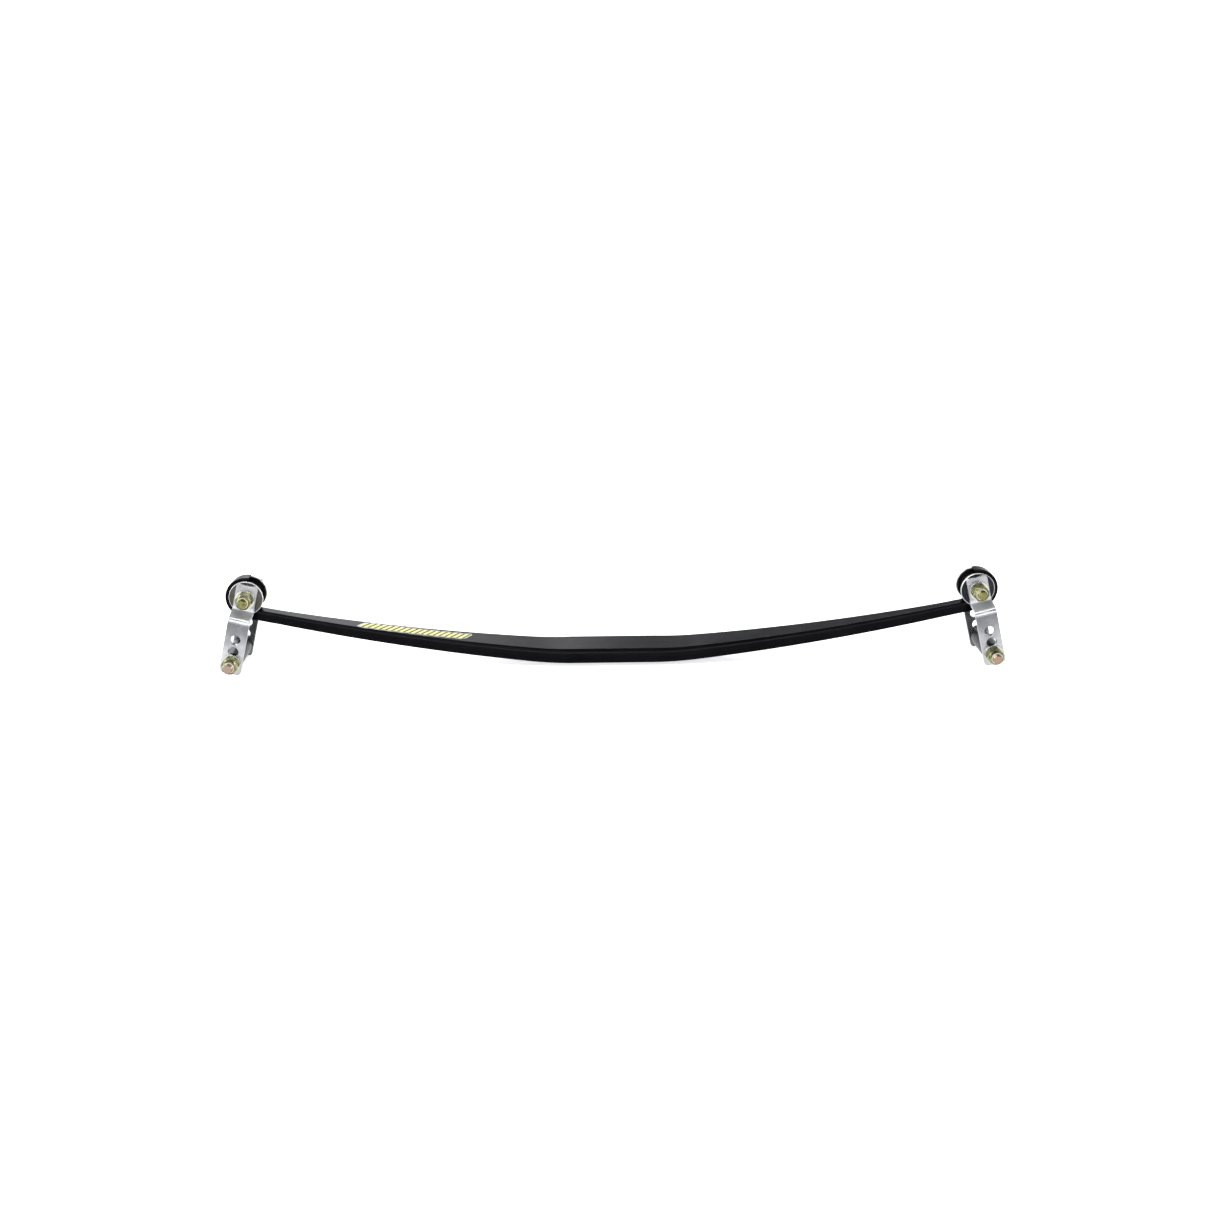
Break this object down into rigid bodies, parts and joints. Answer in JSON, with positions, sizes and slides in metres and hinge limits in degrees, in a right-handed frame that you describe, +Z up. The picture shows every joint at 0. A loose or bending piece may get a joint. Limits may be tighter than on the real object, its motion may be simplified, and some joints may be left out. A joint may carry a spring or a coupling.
{
  "type": "leaf spring",
  "caption": "Helper leaf spring: a tapered leaf with open end hooks, and at each end a roller shackle with joggled plates and height holes.",
  "frame": {"origin": "middle of the flat underside of the seat", "axes": "+X along the leaf, +Y to the back where the bolt heads are, +Z up"},
  "size_m": [1.1768, 0.1247, 0.1409],
  "materials": {
    "leaf_paint": "gloss black paint",
    "decal_vinyl": "printed vinyl",
    "urethane": "satin black urethane",
    "clear_zinc": "clear zinc plate",
    "disc_zinc": "dulled zinc plate",
    "yellow_zinc": "yellow zinc plate",
    "sleeve_steel": "drawn steel tube",
    "nylon": "natural nylon"
  },
  "bodies": {
    "leaf": {"leaf_blade": "leaf_paint", "decal": "decal_vinyl"},
    "left_shackle": {"left_roller_sleeve": "sleeve_steel", "left_front_disc": "disc_zinc", "left_rear_disc": "disc_zinc", "left_front_plate": "clear_zinc", "left_rear_plate": "clear_zinc", "left_top_bolt": "yellow_zinc", "left_top_nut": "yellow_zinc", "left_top_nut_insert": "nylon", "left_top_washers": "yellow_zinc", "left_lower_bolt": "yellow_zinc", "left_lower_nut": "yellow_zinc", "left_lower_nut_insert": "nylon", "left_lower_washers": "yellow_zinc", "left_lower_sleeve": "sleeve_steel"},
    "left_spool": {"left_hook_roller": "urethane"},
    "left_tube": {"left_lower_roller": "urethane"},
    "right_shackle": {"right_roller_sleeve": "sleeve_steel", "right_front_disc": "disc_zinc", "right_rear_disc": "disc_zinc", "right_front_plate": "clear_zinc", "right_rear_plate": "clear_zinc", "right_top_bolt": "yellow_zinc", "right_top_nut": "yellow_zinc", "right_top_nut_insert": "nylon", "right_top_washers": "yellow_zinc", "right_lower_bolt": "yellow_zinc", "right_lower_nut": "yellow_zinc", "right_lower_nut_insert": "nylon", "right_lower_washers": "yellow_zinc", "right_lower_sleeve": "sleeve_steel"},
    "right_spool": {"right_hook_roller": "urethane"},
    "right_tube": {"right_lower_roller": "urethane"}
  },
  "joints": [
    {"name": "left_shackle_swing", "type": "hinge", "parent": "leaf", "child": "left_shackle", "pos_m": [-0.546, 0, 0.10578], "axis": [0, 1, 0], "range_deg": [-62, 266]},
    {"name": "left_hook_roller_turn", "type": "hinge", "parent": "left_shackle", "child": "left_spool", "pos_m": [-0.546, 0, 0.10578], "axis": [0, 1, 0], "continuous": true},
    {"name": "left_lower_roller_turn", "type": "hinge", "parent": "left_shackle", "child": "left_tube", "pos_m": [-0.57014, 0, 0.01245], "axis": [0, 1, 0], "continuous": true},
    {"name": "right_shackle_swing", "type": "hinge", "parent": "leaf", "child": "right_shackle", "pos_m": [0.546, 0, 0.10578], "axis": [0, 1, 0], "range_deg": [-266, 62]},
    {"name": "right_hook_roller_turn", "type": "hinge", "parent": "right_shackle", "child": "right_spool", "pos_m": [0.546, 0, 0.10578], "axis": [0, 1, 0], "continuous": true},
    {"name": "right_lower_roller_turn", "type": "hinge", "parent": "right_shackle", "child": "right_tube", "pos_m": [0.57014, 0, 0.01245], "axis": [0, 1, 0], "continuous": true}
  ]
}
